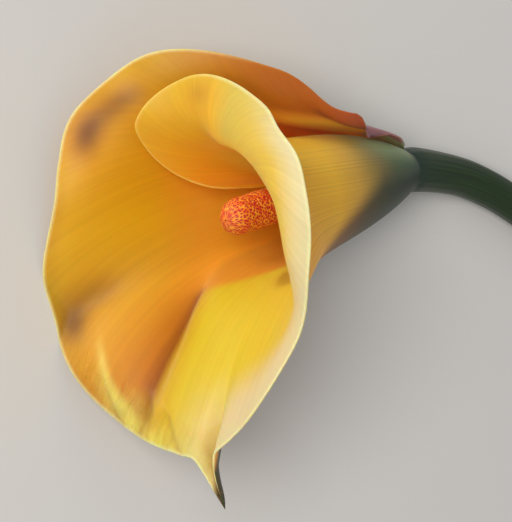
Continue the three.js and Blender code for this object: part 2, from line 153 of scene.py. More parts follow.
# ---- the camera's place, worked out from the picture ----------------------------------------
IMAGE_W, IMAGE_H = 512, 522
CAMERA_BACK, MOUTH_DEPTH = 560, 45  # from the joint's plane to the camera, and to the mouth
PX_PER_MM = 4.0                     # at the mouth's depth
FOCAL_PX = PX_PER_MM * (CAMERA_BACK - MOUTH_DEPTH)
JOINT_PX = (403, 171)               # where the joint lies in the picture
SENSOR, CLIP = 36, (0.01, 20)       # sensor width in mm, clipping distances in m


# ---- small helpers --------------------------------------------------------------------------
def fade(x, start, width):
    """0 up to the start, then a smooth rise to 1 over the width."""
    x = np.clip((x - start) / width, 0, 1)
    return x * x * (3 - 2 * x)


def bell(x, middle, half):
    """1 in the middle, and a smooth fall on both sides."""
    return np.exp(-((x - middle) / half)**2)


def along(table, x):
    """Smooth values between the rows of a table whose first column is the position."""
    xs, ys = table[:, 0], table[:, 1:]
    gap = np.diff(xs)
    rise = np.diff(ys, axis=0) / gap[:, None]
    slope = np.vstack([rise[:1], (rise[:-1] * gap[1:, None] + rise[1:] * gap[:-1, None])
                       / (gap[1:] + gap[:-1])[:, None], rise[-1:]])
    i = np.clip(np.searchsorted(xs, x) - 1, 0, len(xs) - 2)
    w = gap[i][:, None]
    t = ((x - xs[i]) / gap[i])[:, None]
    return ((2 * t**3 - 3 * t**2 + 1) * ys[i] + (t**3 - 2 * t**2 + t) * w * slope[i]
            + (3 * t**2 - 2 * t**3) * ys[i + 1] + (t**3 - t**2) * w * slope[i + 1])


def turn(v):
    """A direction in the picture (right, up, towards the eye) as it lies in the row frame."""
    q = math.radians(ROLL)
    x, y, z = v
    return np.array([x * math.cos(q) - z * math.sin(q), y, z * math.cos(q) + x * math.sin(q)])


TILT, TURN = math.radians(AXIS_TILT), math.radians(AXIS_TURN)
MOUTH = turn((-math.cos(TILT) * math.cos(TURN), -math.cos(TILT) * math.sin(TURN), math.sin(TILT)))
MIDRIB = turn((math.sin(TURN), -math.cos(TURN), 0))
UPPER = turn((math.sin(TILT) * math.cos(TURN), math.sin(TILT) * math.sin(TURN), math.cos(TILT)))


def lie(x, y, z):
    """Flower frame to lying pose, with the joint over the origin."""
    return (np.array([0, 0, JOINT_HEIGHT]) + x[..., None] * MIDRIB + y[..., None] * UPPER
            + z[..., None] * MOUTH)


def grid_faces(rows, cols, ring=False):
    """Quads of a grid of rows x cols points, closed into a ring across the columns if asked."""
    i, j = np.meshgrid(np.arange(rows - 1), np.arange(cols if ring else cols - 1), indexing="ij")
    k = (j + 1) % cols
    return np.stack([i * cols + j, (i + 1) * cols + j, (i + 1) * cols + k, i * cols + k],
                    -1).reshape(-1, 4)


def make_piece(name, points, faces, node, attributes):
    """A smooth mesh object from points in mm, which stands for a node of the solids. The
    attributes tell its material where each point lies."""
    mesh = bpy.data.meshes.new(name)
    mesh.from_pydata((points * MM).tolist(), [], [list(map(int, f)) for f in faces])
    mesh.validate()
    for key, values in attributes.items():
        layer = mesh.attributes.new(key, "FLOAT", "POINT")
        layer.data.foreach_set("value", np.asarray(values, np.float32).ravel())
    mesh.shade_smooth()
    obj = bpy.data.objects.new(name, mesh)
    bpy.context.scene.collection.objects.link(obj)
    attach(obj, "root")
    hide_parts(node)
    return obj


# ---- stem -----------------------------------------------------------------------------------
def stem_radius(s):
    """Radius at a distance from the joint."""
    return along(STEM_RADII, np.atleast_1d(np.asarray(s, float)))[:, 0]


def stem_points():
    """The stem's knots: out of the joint along the flower's axis, then down onto the surface."""
    start = lie(np.array(0.0), np.array(0.0), np.array(-SEAT_GAP))
    out = start - STEM_OUT * MOUTH
    flat = np.array([start[:2], out[:2], *STEM_ROUTE])
    s = np.concatenate([[0], np.cumsum(np.hypot(*np.diff(flat, axis=0).T))])
    r = stem_radius(s)
    bow = STEM_BOW * np.sin(math.pi * np.clip((s - STEM_LANDS) / (s[-1] - STEM_LANDS), 0, 1))
    left = 1 - np.clip(s / STEM_LANDS, 0, 1)
    z = r - FLAT + bow + (start[2] - r[0] + FLAT) * left**2
    knots = np.column_stack([flat, z])
    knots[0], knots[1] = start, out
    return knots


def curve_through(knots, count):
    """Centripetal curve through the knots, as count points evenly spaced along it."""
    steps = 40
    p = np.vstack([2 * knots[0] - knots[1], knots, 2 * knots[-1] - knots[-2]])
    dense = []
    for k in range(len(knots) - 1):
        p0, p1, p2, p3 = p[k:k + 4]
        t0 = 0.0
        t1 = t0 + np.linalg.norm(p1 - p0)**0.5
        t2 = t1 + np.linalg.norm(p2 - p1)**0.5
        t3 = t2 + np.linalg.norm(p3 - p2)**0.5
        t = np.linspace(t1, t2, steps, endpoint=False)[:, None]
        a1 = (t1 - t) / (t1 - t0) * p0 + (t - t0) / (t1 - t0) * p1
        a2 = (t2 - t) / (t2 - t1) * p1 + (t - t1) / (t2 - t1) * p2
        a3 = (t3 - t) / (t3 - t2) * p2 + (t - t2) / (t3 - t2) * p3
        b1 = (t2 - t) / (t2 - t0) * a1 + (t - t0) / (t2 - t0) * a2
        b2 = (t3 - t) / (t3 - t1) * a2 + (t - t1) / (t3 - t1) * a3
        dense.append((t2 - t) / (t2 - t1) * b1 + (t - t1) / (t2 - t1) * b2)
    dense = np.vstack([*dense, knots[-1:]])
    s = np.concatenate([[0], np.cumsum(np.linalg.norm(np.diff(dense, axis=0), axis=1))])
    at = np.linspace(0, s[-1] - STEM_SHORT, count)
    return np.column_stack([np.interp(at, s, dense[:, c]) for c in range(3)]), at


def build_stem():
    """The stem as rings of points round its curve, closed at both ends."""
    rings, sides = 300, 96
    line, s = curve_through(stem_points(), rings)
    ahead = np.gradient(line, axis=0)
    ahead[0] = -MOUTH
    ahead /= np.linalg.norm(ahead, axis=1, keepdims=True)
    side = np.cross([0, 0, 1], ahead)
    side /= np.linalg.norm(side, axis=1, keepdims=True)
    up = np.cross(ahead, side)
    q = np.linspace(0, 2 * math.pi, sides, endpoint=False)
    r = stem_radius(s)[:, None] * np.ones(sides)
    # shallow flutes run the whole length, and the cut end's edge is a little rounded
    for count, depth, phase, twist in FLUTES:
        r += depth * np.sin(count * q + phase + twist * s[:, None])
    r -= CUT_ROUND * np.exp(-(s[-1] - s[:, None]) / CUT_ROUND_REACH)
    points = (line[:, None] + side[:, None] * (r * np.sin(q))[..., None]
              - up[:, None] * (r * np.cos(q))[..., None])
    points[..., 2] = np.maximum(points[..., 2], 0)
    faces = grid_faces(rings, sides, ring=True).tolist()
    flat = points.reshape(-1, 3)
    faces += [list(range(sides))[::-1], [(rings - 1) * sides + j for j in range(sides)]]
    return flat, faces, {"run": np.repeat(s, sides), "round": np.tile(np.degrees(q), rings),
                         "cut": np.repeat(fade(s, s[-1] - CUT_FACE, CUT_FACE), sides)}


# ---- spathe ---------------------------------------------------------------------------------
def bezier(p0, p1, p2, p3, t):
    """Cubic curves, one for each row of the four tables of points."""
    t = t[None, :, None]
    a, b, c, d = (p[:, None, :] for p in (p0, p1, p2, p3))
    return (1 - t)**3 * a + 3 * (1 - t)**2 * t * b + 3 * (1 - t) * t * t * c + t**3 * d


def heading(degrees):
    """Direction in a rib's own plane (outwards, up), by its angle from the axis."""
    q = np.radians(degrees)
    return np.stack([np.sin(q), np.cos(q)], -1)


def wrinkles(angle, s):
    """Depth of the wrinkles there: narrow grooves that fade in towards the rim."""
    return sum(depth * bell(angle, at + twist * (s - 1), half) * fade(s, start, WRINKLE_FADE)
               for at, twist, start, half, depth in WRINKLES)


def spathe_sheet(u, tube_t, limb_s):
    """Middle of the sheet in the flower frame for ribs u, and what each point is."""
    h0, r0, throat_r, throat_h, throat_slope = along(THROAT, u).T
    x = u - TAIL_ANGLE
    drawn = LEAN_REACH * (np.abs(x) / LEAN_REACH)**LEAN_POWER
    end = np.where(np.abs(x) < LEAN_REACH, TAIL_ANGLE + np.sign(x) * drawn, u)
    rim_r, rim_h, rim_slope = along(RIM, end).T
    base, throat = np.stack([r0, h0 - SHEATH], -1), np.stack([throat_r, throat_h], -1)
    rim = np.stack([rim_r, rim_h], -1)
    low = np.linalg.norm(throat - base, axis=-1)[:, None]
    high = np.linalg.norm(rim - throat, axis=-1)[:, None]
    tube = bezier(base, base + STIFF[0] * low * heading(np.full_like(u, BASE_FLARE)),
                  throat - STIFF[1] * low * heading(throat_slope), throat, tube_t)
    limb = bezier(throat, throat + STIFF[2] * high * heading(throat_slope),
                  rim - STIFF[3] * high * heading(rim_slope), rim, limb_s)
    rh = np.concatenate([tube, limb], 1)
    s = np.concatenate([np.zeros_like(tube_t), limb_s])[None, :]
    tail = np.clip(1 - np.abs(end - TAIL_ANGLE) / TAIL_HALF, 0, 1)[:, None]**TAIL_TAPER
    r = rh[..., 0] + tail * TAIL_LENGTH * s**TAIL_REACH
    h = rh[..., 1] - tail**TAIL_BACK_POWER * TAIL_BACK * fade(s, *TAIL_BACK_FADE)
    # the tail sways one way and then, twice as far, the other
    angle = u[:, None] + (end - u)[:, None] * s * s + TAIL_BEND * tail * (
        2 * fade(s, *TAIL_BEND_OUT) - fade(s, *TAIL_BEND_IN))
    off = angle - VALLEY_ANGLE + VALLEY_DRIFT * (1 - s)**2
    far = (np.sqrt(off * off + 1) - 1) / np.where(off < 0, VALLEY_LEFT, VALLEY_RIGHT)
    dip = (VALLEY_DEPTH * np.exp(-far**VALLEY_POWER) * fade(s, *VALLEY_IN)
           * (1 - VALLEY_EASE * fade(s, *VALLEY_OUT)))
    dip += sum(depth * bell(angle, at, wide) * bell(s, place, tall)
               for at, place, wide, tall, depth in DENTS)
    dip += wrinkles(angle, s)
    wave = RUFFLE * s * s * sum(share * np.sin(np.radians(angle * turns + phase))
                                for turns, phase, share in RUFFLE_WAVES)
    wave *= fade(angle, *RUFFLE_FROM) * fade(-angle, *RUFFLE_TO)
    q = np.radians(angle)
    out, up = r + dip * DIP_OUT, h - dip * DIP_BACK + wave
    sheet = np.stack([out * np.cos(q), out * np.sin(q), up], -1)
    return sheet, angle, np.broadcast_to(s, angle.shape), h, tail * s**TAIL_REACH


def grid_normals(g):
    """Unit normals of a grid of points, out of the flower."""
    du, dv = np.gradient(g, axis=0), np.gradient(g, axis=1)
    n = np.cross(du, dv)
    return n / (np.linalg.norm(n, axis=-1, keepdims=True) + 1e-9)


# where each colour lies on the sheet. A pair is where a fade starts and how wide it is: round the
# flower in degrees, along the limb as a share of its length, or up from the joint in mm. The
# fades towards the outer margin count degrees the other way round.
WRINKLE_SHADE = 0.3  # the wrinkles' share of the painted brown shade
# painted shade on the underside by the joint, where the light from above doesn't reach:
# strength, middle, height up to which it is widest, degrees that it then loses for each mm,
# and its soft border
UNDER, UNDER_MIDDLE, UNDER_BLUNT, UNDER_TAPER, UNDER_FADE = 0.9, 20, 24, 2, (96, 32)
# sage flush of the upper side by the joint: strength, round the flower, its top and its foot
SAGE, SAGE_ROUND, SAGE_TOP, SAGE_FOOT = 0.7, (92, 40), (16, 16), (1, 4)
# amber of the throat up the far wall, and painted cast shadow of the spadix and scroll below a
# slanting line under the furrow
AMBER_WALL, AMBER_NEAR, AMBER_NEAR_END = (0, 0.42), (-38, 10), (70, 30)
AMBER_LINE, AMBER_LINE_AT, AMBER_LINE_SLOPE, AMBER_LINE_SOFT = 46.9, -17.5, 0.62, 6
# shade of that amber: darker at the near side, where it is painted shadow, and brightest in the
# scroll and at the outer margin
THROAT_NEAR, THROAT_SCROLL, THROAT_OUTER = (-38, 12), (60, 60), (160, 25)
# cream of the rolled lip, partly its paler tissue and partly painted light where the lip faces
# the lamp; it starts later along the ribs on its upper half
CREAM_FROM, CREAM_TO, CREAM_START, CREAM_REACH = (-24, 32), (105, 45), 0.5, 0.36
CREAM_LATER, CREAM_LATER_ROUND = 0.12, (10, 40)
# crinkled part of the rim, mauve underside of the outer margin, green foot of its inner side
CRINKLE_ROUND, CRINKLE_RIM = (-30, 22), (0.78, 0.15)
CURL_ROUND, FOOT_ROUND, FOOT_TOP = (208, 8), (178, 12), (12, 8)
# pale edge: from the outer margin on, and three quarters gone past the lip
PALE_FROM, PALE_TO, PALE_LOST = (-200, 35), (150, 30), 0.75
# painted highlight streak down the far wall beside the furrow: strength, angle at a place along
# the rib, drift along it, half width
STREAK, STREAK_ANGLE, STREAK_PLACE, STREAK_DRIFT, STREAK_HALF = 0.75, -41, 0.89, 110, 3
# where it widens, by how much on each side, and its middle and half length along the rib
STREAK_SPREAD, STREAK_LEFT, STREAK_RIGHT = (0.84, 0.14), 4, 9
STREAK_MIDDLE, STREAK_TALL = 0.9, 0.1
# painted highlight where the furrow's painted brown side nears the rim: strength, angle, half
# width, fade
FURROW_PALES = [(0.42, -31, 5, (0.76, 0.12)), (0.2, -20, 8, (0.8, 0.12))]
# veins fan out from the midrib: how far they turn, how late, and where the turn stops
VEIN_FAN, VEIN_LATE, VEIN_STOP = 26, 1.6, 170
FURROW_NEAR = 45      # colours this near the furrow drift with it


def spathe_marks(angle, s, h):
    """Where each colour and vein lies, as pairs for the sheet's outer and inner skin."""
    fan = np.clip(angle - TAIL_ANGLE, -VEIN_STOP, VEIN_STOP)
    vein = angle + VEIN_FAN * s**VEIN_LATE * np.sin(np.radians(fan))
    from_furrow = angle + VALLEY_DRIFT * (1 - s)**2 * bell(angle, VALLEY_ANGLE, FURROW_NEAR)
    # painted brown shade along the wrinkles and in the dents and folds
    painted_shade = WRINKLE_SHADE * wrinkles(angle, s) + sum(
        much * bell(angle, at, wide) * bell(s, place, tall)
        for at, place, wide, tall, much in SHADE_SPOTS)
    # painted shade on the underside, widest by the joint
    wedge = np.abs(angle - UNDER_MIDDLE) + UNDER_TAPER * np.maximum(h, UNDER_BLUNT)
    underside_shade = UNDER * (1 - fade(wedge, *UNDER_FADE))
    sage = SAGE * fade(angle, *SAGE_ROUND) * (1 - fade(h, *SAGE_TOP)) * fade(h, *SAGE_FOOT)
    foot = fade(-angle, *FOOT_ROUND) * (1 - fade(h, *FOOT_TOP))
    # on the near side the amber is a painted cast shadow below a slanting line
    near = fade(from_furrow, *AMBER_NEAR) * (1 - fade(angle, *AMBER_NEAR_END))
    line = AMBER_LINE - AMBER_LINE_SLOPE * (angle - AMBER_LINE_AT) - AMBER_LINE_SOFT / 2
    amber_and_shadow = (1 - near) * (1 - fade(s, *AMBER_WALL)) + near * (1 - fade(h, line, AMBER_LINE_SOFT))
    throat = (fade(from_furrow, *THROAT_NEAR) + fade(angle, *THROAT_SCROLL)) / 2
    throat += fade(-angle, *THROAT_OUTER)
    # the lip's cream: partly paler tissue, partly painted light
    starts = CREAM_START + CREAM_LATER * fade(angle, *CREAM_LATER_ROUND)
    lip_cream_and_light = fade(angle, *CREAM_FROM) * (1 - fade(angle, *CREAM_TO)) * fade(s, starts, CREAM_REACH)
    pale = fade(angle, *PALE_FROM) * (1 - PALE_LOST * fade(angle, *PALE_TO))
    # the painted highlight streak drifts towards the furrow on its way to the rim
    aside = angle - STREAK_ANGLE - STREAK_DRIFT * (s - STREAK_PLACE)
    width = STREAK_HALF + fade(s, *STREAK_SPREAD) * np.where(aside < 0, STREAK_LEFT, STREAK_RIGHT)
    painted_highlight = STREAK * bell(aside, 0, width) * np.exp(-((s - STREAK_MIDDLE) / STREAK_TALL)**4)
    painted_highlight += sum(much * bell(angle, at, half) * fade(s, *rim)
                  for much, at, half, rim in FURROW_PALES)
    marks = {"vein": vein, "run": s, "rise": h, "angle": from_furrow, "painted_shade": painted_shade,
             "painted_highlight": painted_highlight, "amber_and_shadow": amber_and_shadow, "lip_cream_and_light": lip_cream_and_light, "throat": throat, "pale": pale,
             "crinkle": bell(angle, *CRINKLE_ROUND) * fade(s, *CRINKLE_RIM),
             "underside_shade": underside_shade, "curl": fade(-angle, *CURL_ROUND)}
    marks = {key: (value, value) for key, value in marks.items()}
    # the foot of the outer margin is green inside too
    marks["sage"] = sage, foot
    marks["inner"] = np.zeros_like(foot), 1 - foot
    return marks


# ribs, and how they are packed closer at the wrinkles: angle, half width, how many more
RIBS, RIBS_FINE, RIBS_PACKED = 392, 4000, (-25, 28, 1.2)
# points along a rib: in the tube, on the limb, and the last few close to the rim
TUBE_POINTS, LIMB_POINTS, RIM_POINTS = 40, (0.985, 76), [0.990, 0.994, 0.997, 0.999, 1.0]
EDGE_LEAST = 0.015  # keeps the rounded edge from closing to nothing


def build_spathe():
    """The spathe as two skins of one sheet, joined along its edge."""
    fine = np.linspace(THROAT[0, 0], THROAT[-1, 0], RIBS_FINE)
    middle, half, more = RIBS_PACKED
    packed = np.cumsum(1 + more * bell(fine, middle, half))
    u = np.interp(np.linspace(packed[0], packed[-1], RIBS), packed, fine)
    tube_t = np.linspace(0, 1, TUBE_POINTS, endpoint=False)
    limb_s = np.concatenate([np.linspace(0, *LIMB_POINTS), RIM_POINTS])
    sheet, angle, s, h, tail = spathe_sheet(u, tube_t, limb_s)
    rows, cols = angle.shape
    grid = lie(sheet[..., 0], sheet[..., 1], sheet[..., 2])
    normal = grid_normals(grid)
    # distance to the free margin, along the rib and across the first and last ribs
    to_rim = np.linalg.norm(np.diff(grid, axis=1), axis=-1)
    to_rim = np.concatenate([np.cumsum(to_rim[:, ::-1], axis=1)[:, ::-1], np.zeros((rows, 1))], 1)
    across = np.linalg.norm(np.diff(grid, axis=0), axis=-1)
    first = np.concatenate([np.zeros((1, cols)), np.cumsum(across, axis=0)])
    last = first[-1:] - first
    margin = np.minimum(to_rim, np.minimum(first, last))
    # the sheet thins towards its edge, and the edge is rounded
    thick = EDGE_SHEET + (SHEET - EDGE_SHEET) * fade(margin, 0, SHEET_FULL)
    rounded = np.sqrt(1 - (1 - np.clip(margin / (EDGE_SHEET / 2), EDGE_LEAST, 1))**2)
    # it rests on the surface and doesn't dip below it
    grid[..., 2] = np.maximum(grid[..., 2], thick / 2)
    skin = (thick * rounded / 2)[..., None] * normal
    points = np.concatenate([(grid + skin).reshape(-1, 3), (grid - skin).reshape(-1, 3)])
    points[:, 2] = np.maximum(points[:, 2], 0)
    # the outer skin comes first, then the inner one, and a strip joins them along the border
    quads = grid_faces(rows, cols)
    n = rows * cols
    faces = np.concatenate([quads, quads[:, ::-1] + n]).tolist()
    border = ([(i, 0) for i in range(rows - 1)] + [(rows - 1, j) for j in range(cols - 1)]
              + [(i, cols - 1) for i in range(rows - 1, 0, -1)]
              + [(0, j) for j in range(cols - 1, 0, -1)])
    ids = [i * cols + j for i, j in border]
    faces += [[b, a, a + n, b + n] for a, b in zip(ids, ids[1:] + ids[:1])]
    marks = {**spathe_marks(angle, s, h), "margin": (margin, margin), "tail": (tail, tail)}
    return points, faces, {key: np.concatenate([outer.ravel(), inner.ravel()])
                           for key, (outer, inner) in marks.items()}


# ---- spadix ---------------------------------------------------------------------------------
def spadix_radius(h):
    """Radius at a height above the joint, without the florets."""
    body = SPADIX_RADIUS + SPADIX_SWELL * np.sin(math.pi * np.clip(h / SPADIX_LENGTH, 0, 1))
    foot = STALK_RADIUS + (body - STALK_RADIUS) * fade(h, STALK_END, STALK_WIDENS)
    over = np.clip((h - (SPADIX_LENGTH - SPADIX_TIP)) / SPADIX_TIP, 0, 1)
    return foot * np.sqrt(np.maximum(0, 1 - over * over))


def scatter(seed, stretch):
    """A number from 0 to 1 that depends on the seed alone but looks random."""
    return np.mod(np.sin(seed) * stretch, 1)


def build_spadix():
    """The spadix as rings of points, which rise into a bead at every floret."""
    sides, rings, tip_rings = 204, 330, 31
    body = np.linspace(0, SPADIX_LENGTH - SPADIX_TIP, rings, endpoint=False)
    over = np.sin(np.linspace(0, math.pi / 2, tip_rings, endpoint=False))
    h = np.concatenate([body, SPADIX_LENGTH - SPADIX_TIP + SPADIX_TIP * over])
    q = np.linspace(0, 2 * math.pi, sides, endpoint=False)
    hh, qq = np.meshgrid(h, q, indexing="ij")
    # a quincunx of florets, sheared into a slow spiral
    a = qq / (2 * math.pi) * FLORETS_AROUND + hh * FLORET_SPIRAL
    b = hh / FLORET_ROW
    best, which = np.full(a.shape, np.inf), np.zeros(a.shape)
    for k in (-1, 0, 1):
        row = np.round(b) + k
        shift = np.mod(row, 2) / 2
        near = np.round(a - shift) + shift
        column = np.mod(near, FLORETS_AROUND)
        lot = column * LOT[0] + row * LOT[1]
        aside = FLORET_SCATTER * (scatter(lot, LOT_ASIDE) - 0.5)
        ahead = FLORET_SCATTER * (scatter(lot + 1, LOT_AHEAD) - 0.5)
        d = np.hypot(a - near - aside, (b - row - ahead) * FLORET_SQUASH)
        which = np.where(d < best, column * SHADE[0] + row * SHADE[1], which)
        best = np.minimum(best, d)
    seed = scatter(which, LOT_SHADE)
    grown = fade(hh, *FLORETS_START)
    bead = np.sqrt(np.clip(1 - (best / BEAD_RADIUS)**2, 0, 1))
    tall = BEAD_HEIGHT * (BEAD_LEAST + BEAD_MORE * seed)
    r = spadix_radius(hh) + grown * (tall * bead - BEAD_SINK)
    r = np.maximum(r, TIP_LEAST)
    centre = SPADIX_LEAN * (hh / SPADIX_LENGTH)**SPADIX_LEAN_POWER
    points = lie(centre + r * np.cos(qq), r * np.sin(qq), hh).reshape(-1, 3)
    faces = grid_faces(len(h), sides, ring=True).tolist()
    faces += [list(range(sides))[::-1], [(len(h) - 1) * sides + j for j in range(sides)]]
    return points, faces, {"floret": best, "seed": seed, "grown": grown}


# ---- materials ------------------------------------------------------------------------------
# colours of the limb's inner side by rib angle, counted from the furrow near it. The brown stops
# at -32.5 and -28.8 are painted shade on the furrow's shaded side, the darker golds at -56 and
# -42 painted shade on the wall beside it, and the browns of the outer margin partly painted shade
ROUND = [(-228, "#74403A"), (-215, "#A45A20"), (-195, "#B87218"), (-165, "#C89A12"),
         (-130, "#E2A20E"), (-90, "#EEB00E"), (-56, "#DCA010"), (-42, "#D2900C"),
         (-32.5, "#C0780E"), (-28.8, "#985408"), (-26.4, "#C8A010"), (-17, "#CEB814"),
         (0, "#D2BC24"), (40, "#D8BA38"), (108, "#DABA48"), (150, "#CCB44C"),
         (164, "#E4B02C"), (200, "#ECB220"), (258, "#EAA020")]


def linear(hex_colour):
    """sRGB hex to the linear values that a shader takes."""
    channels = [int(hex_colour[k:k + 2], 16) / 255 for k in (1, 3, 5)]
    return [c / 12.92 if c <= 0.04045 else ((c + 0.055) / 1.055)**2.4 for c in channels] + [1.0]


def add(tree, kind, inputs=None, stops=None, **settings):
    """Adds a shader node with its settings, its fixed inputs, its links and a ramp's stops."""
    n = tree.nodes.new("ShaderNode" + kind)
    for key, value in settings.items():
        setattr(n, key, value)
    for key, value in (inputs or {}).items():
        if isinstance(value, bpy.types.Node):
            # a node as an input stands for the first output that it has in use
            value = next(socket for socket in value.outputs if socket.enabled)
        if isinstance(value, bpy.types.NodeSocket):
            tree.links.new(value, n.inputs[key])
        else:
            n.inputs[key].default_value = value
    if stops:
        ramp = n.color_ramp.elements
        while len(ramp) < len(stops):
            ramp.new(0.5)
        for element, (place, colour) in zip(ramp, stops):
            element.position, element.color = place, linear(colour)
    return n


def new_material(name):
    """A material with an empty node tree."""
    material = bpy.data.materials.new(name)
    material.use_nodes = True
    tree = material.node_tree
    tree.nodes.clear()
    return material, tree


# one degree round the spathe's throat, round its lower rim and round the stem, in mm
THROAT_DEGREE, RIM_DEGREE, STALK_DEGREE = 0.44, 0.99, 0.098
# veins 0.8 mm apart at the throat, about as in life, and crinkles 3.3 mm apart at the rim
VEIN_GAP, CRINKLE_GAP = 0.8, 3.3
# the limb's 55 mm count as 22 of the rim's degrees, so crinkles are 2.5 times as long as wide
CRINKLE_RUNS = 22.0
# the stalk's fibres 0.28 mm apart and 33 mm long, a little finer than in life
FIBRE_GAP, FIBRES_PER_MM = 0.28, 0.03
OUTSIDE_REACH = 90       # height in mm over which the outside's colours are laid out
EDGE_CREAM = (0.1, 1.2)  # mm from the margin at which its cream starts to fade and is gone
# the tail's share at which its green sets in and is full, and how much less there is inside
TAIL_GREEN, TAIL_INSIDE = (0.08, 0.34), -0.4
NECK_GREEN = 7           # the stem's blue-green fades over this many mm from the joint
STYLE = (0.48, 0.2)      # a style's edge and its full red, as shares of the florets' spacing


def petal_tissue():
    """Spathe tissue: a waxy satin skin over a thin blade that lets light soak through, so its
    shadows stay warm. The colours change from olive outside to gold, cream and amber inside,
    with painted shade in the throat, dents, furrow and underside, and painted light on the lip
    and in a streak."""
    material, t = new_material("calla_petal_tissue")
    get = {k: add(t, "Attribute", attribute_name=k).outputs["Fac"]
           for k in ("vein", "run", "rise", "margin", "angle", "tail", "inner", "painted_shade", "painted_highlight",
                     "crinkle", "underside_shade", "amber_and_shadow", "lip_cream_and_light", "throat", "pale", "curl", "sage")}
    # inside, round the limb: brown-orange at the outer margin, gold on the far wall, clear
    # yellow past the furrow, paler on the rolled lip and orange in the scroll; the browns and
    # darker golds, and the brown side of the furrow, are partly painted shade
    start, end = ROUND[0][0], ROUND[-1][0]
    place = add(t, "MapRange", {"Value": get["angle"], "From Min": start, "From Max": end})
    inside = add(t, "ValToRGB", {"Fac": place},
                 [((at - start) / (end - start), colour) for at, colour in ROUND])
    # amber throat, browner under the furrow where it is painted shadow, and brightest in the
    # scroll
    amber = add(t, "ValToRGB", {"Fac": get["throat"]}, [
        (0.0, "#F2A024"), (0.5, "#D49026"), (1.0, "#FFC840")])
    # over it: the near lip pales to cream at its rim, partly painted light; the throat is amber,
    # with a painted cast shadow below the furrow; a painted highlight streak runs down the far
    # wall beside the furrow; and painted brown shade lies in the soft dents, wrinkles and folds
    for mask, tint in (("lip_cream_and_light", linear("#D8C79A")), ("amber_and_shadow", amber),
                       ("painted_highlight", linear("#F4DA6C")), ("painted_shade", linear("#784804"))):
        inside = add(t, "Mix", {"Factor": get[mask], "A": inside, "B": tint}, data_type="RGBA")
    # outside: blue-green at the joint, olive, then tan yellow
    rise = add(t, "MapRange", {"Value": get["rise"], "From Min": 0, "From Max": OUTSIDE_REACH})
    outside = add(t, "ValToRGB", {"Fac": rise}, [
        (0.0, "#24402C"), (0.1, "#34522C"), (0.18, "#485A2E"), (0.26, "#7A6C34"),
        (0.33, "#A48A38"), (0.4, "#D2A63C"), (0.5, "#F4BC2C"), (1.0, "#F4BC2C")])
    # painted shade on the side by the midrib, which faces away from the light: green-black at
    # the joint and brown further up
    shade_colours = add(t, "ValToRGB", {"Fac": rise}, [
        (0.08, "#14261A"), (0.24, "#24321A"), (0.34, "#40391A"), (0.42, "#643E18"),
        (0.5, "#7C4C1C")])
    # over it: the painted shade of that side, the sage flush by the joint, and the outer
    # margin's mauve
    for mask, tint in (("underside_shade", shade_colours), ("sage", linear("#A2B884")), ("curl", linear("#94666A"))):
        outside = add(t, "Mix", {"Factor": get[mask], "A": outside, "B": tint}, data_type="RGBA")
    skin = add(t, "Mix", {"Factor": get["inner"], "A": outside, "B": inside}, data_type="RGBA")
    # cream margin, about 1 mm wide
    edge = add(t, "MapRange", {"Value": get["margin"], "From Min": EDGE_CREAM[0],
                               "From Max": EDGE_CREAM[1], "To Min": 0.6, "To Max": 0.0},
               interpolation_type="SMOOTHSTEP")
    edge = add(t, "Math", {0: edge, 1: get["pale"]}, operation="MULTIPLY")
    # the tail's outside is green, and its inside only near the tip
    tail = add(t, "Math", {0: get["inner"], 1: TAIL_INSIDE, 2: get["tail"]},
               operation="MULTIPLY_ADD")
    green = add(t, "MapRange", {"Value": tail, "From Min": TAIL_GREEN[0],
                                "From Max": TAIL_GREEN[1]}, interpolation_type="SMOOTHSTEP")
    for mask, tint in ((edge, "#F4E2AE"), (green, "#3A4320")):
        skin = add(t, "Mix", {"Factor": mask, "A": skin, "B": linear(tint)}, data_type="RGBA")
    # veins, stretched far along the rib: they streak the colour by a few percent, more outside
    place = add(t, "CombineXYZ", {"X": get["vein"], "Y": get["run"]})
    veins = add(t, "TexNoise", {"Vector": place, "Scale": THROAT_DEGREE / VEIN_GAP,
                                "Detail": 3.0, "Roughness": 0.6})
    faint = add(t, "MapRange", {"Value": veins, "From Min": 0.3, "From Max": 0.7,
                                "To Min": 0.94, "To Max": 1.05})
    strong = add(t, "MapRange", {"Value": veins, "From Min": 0.35, "From Max": 0.65,
                                 "To Min": 0.86, "To Max": 1.12})
    shade = add(t, "Mix", {"Factor": get["inner"], "A": strong, "B": faint}, data_type="FLOAT")
    colour = add(t, "Mix", {"Factor": 1.0, "A": skin, "B": shade}, data_type="RGBA",
                 blend_type="MULTIPLY")
    # fine crinkles near the rim on both sides of the furrow break up the light there, and the
    # veins are raised by a fifth of a mm at most
    runs = add(t, "Math", {0: get["run"], 1: CRINKLE_RUNS}, operation="MULTIPLY")
    place = add(t, "CombineXYZ", {"X": get["vein"], "Y": runs})
    folds = add(t, "TexNoise", {"Vector": place, "Scale": RIM_DEGREE / CRINKLE_GAP,
                                "Detail": 5.0, "Roughness": 0.7, "Distortion": 2.0})
    relief = add(t, "Math", {0: folds, 1: get["crinkle"]}, operation="MULTIPLY")
    crease = add(t, "Bump", {"Height": relief, "Strength": 0.9, "Distance": 1.6 * MM})
    bump = add(t, "Bump", {"Height": veins, "Strength": 0.25, "Distance": 0.2 * MM,
                           "Normal": crease})
    # red light spreads 3.5 mm in the tissue, green half as far, blue hardly
    shader = add(t, "BsdfPrincipled", {
        "Base Color": colour, "Roughness": 0.5, "IOR": 1.42, "Subsurface Weight": 0.8,
        "Subsurface Radius": (1.0, 0.45, 0.1), "Subsurface Scale": 3.5 * MM,
        "Sheen Weight": 0.05, "Normal": bump})
    add(t, "OutputMaterial", {"Surface": shader})
    return material


